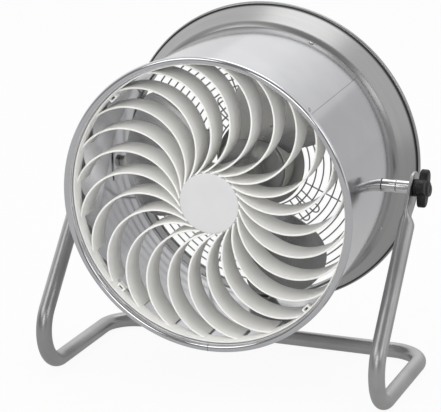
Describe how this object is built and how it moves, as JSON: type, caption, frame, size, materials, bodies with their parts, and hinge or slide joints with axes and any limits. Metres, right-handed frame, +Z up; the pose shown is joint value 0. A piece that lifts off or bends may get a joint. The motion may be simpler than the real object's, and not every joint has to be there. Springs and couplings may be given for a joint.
{
  "type": "air circulator fan",
  "caption": "Drum air circulator with a spiral-vane front grille and wire rear guard, tilting on a bent tube floor stand with star clamp knobs.",
  "frame": {"origin": "on the floor, at the middle of the whole object's box seen from above", "axes": "+Z up; -Y is the front, where the air leaves; +X is to the right seen from the front"},
  "size_m": [0.5812, 0.3206, 0.5581],
  "materials": {
    "drum_steel": "mirror-polished stainless sheet",
    "bell_steel": "brushed stainless sheet",
    "tube_steel": "satin-plated steel tube",
    "grille_plastic": "moulded, light warm grey",
    "cap_plastic": "moulded, satin white",
    "wire_steel": "welded steel wire, bright",
    "blade_metal": "pressed sheet, matt grey",
    "motor_paint": "grey-beige enamel",
    "motor_metal": "die-cast",
    "zinc_steel": "bright zinc-plated steel",
    "black_plastic": "moulded, black"
  },
  "bodies": {
    "stand": {"stand_tube": "tube_steel", "clamp_washer_left": "black_plastic", "clamp_washer_right": "black_plastic"},
    "head": {"drum_shell": "drum_steel", "rear_bell": "bell_steel", "front_grille": "grille_plastic", "hub_cap": "cap_plastic", "rear_guard": "wire_steel", "motor_front_bell": "motor_metal", "motor_housing": "motor_paint", "motor_rear_cover": "motor_paint", "motor_bracket": "zinc_steel", "switch_box": "black_plastic", "cord_gland": "black_plastic", "motor_bolt_1": "zinc_steel", "motor_bolt_2": "zinc_steel", "motor_bolt_3": "zinc_steel", "motor_bolt_4": "zinc_steel", "grille_screw_1": "zinc_steel", "grille_screw_2": "zinc_steel", "grille_screw_3": "zinc_steel", "grille_screw_4": "zinc_steel", "band_screw_1": "zinc_steel", "band_screw_2": "zinc_steel", "band_screw_3": "zinc_steel", "band_screw_4": "zinc_steel", "pivot_bolt_left": "zinc_steel", "pivot_doubler_left": "drum_steel", "pivot_nut_left": "bell_steel", "pivot_spacer_left": "bell_steel", "pivot_bolt_right": "zinc_steel", "pivot_doubler_right": "drum_steel", "pivot_nut_right": "bell_steel", "pivot_spacer_right": "bell_steel"},
    "rotor": {"rotor_spider": "zinc_steel", "motor_shaft": "zinc_steel", "shaft_nut": "zinc_steel", "blade_1": "blade_metal", "blade_2": "blade_metal", "blade_3": "blade_metal"},
    "knob_left": {"tilt_knob_left": "black_plastic"},
    "knob_right": {"tilt_knob_right": "black_plastic"},
    "selector": {"speed_selector": "black_plastic"}
  },
  "joints": [
    {"name": "head_tilt", "type": "hinge", "parent": "stand", "child": "head", "pos_m": [0, 0.0364, 0.3061], "axis": [1, 0, 0], "range_deg": [-93, 27]},
    {"name": "rotor_spin", "type": "hinge", "parent": "head", "child": "rotor", "pos_m": [0, 0.0364, 0.3061], "axis": [0, -0.9986, -0.0529], "continuous": true},
    {"name": "knob_left_turn", "type": "hinge", "parent": "head", "child": "knob_left", "pos_m": [-0.2772, 0.0364, 0.3061], "axis": [-1, 0, 0], "range_deg": [0, 270]},
    {"name": "knob_right_turn", "type": "hinge", "parent": "head", "child": "knob_right", "pos_m": [0.2772, 0.0364, 0.3061], "axis": [1, 0, 0], "range_deg": [0, 270]},
    {"name": "selector_turn", "type": "hinge", "parent": "head", "child": "selector", "pos_m": [0, 0.13626, 0.31139], "axis": [0, -0.9986, -0.0529], "range_deg": [0, 135]}
  ]
}
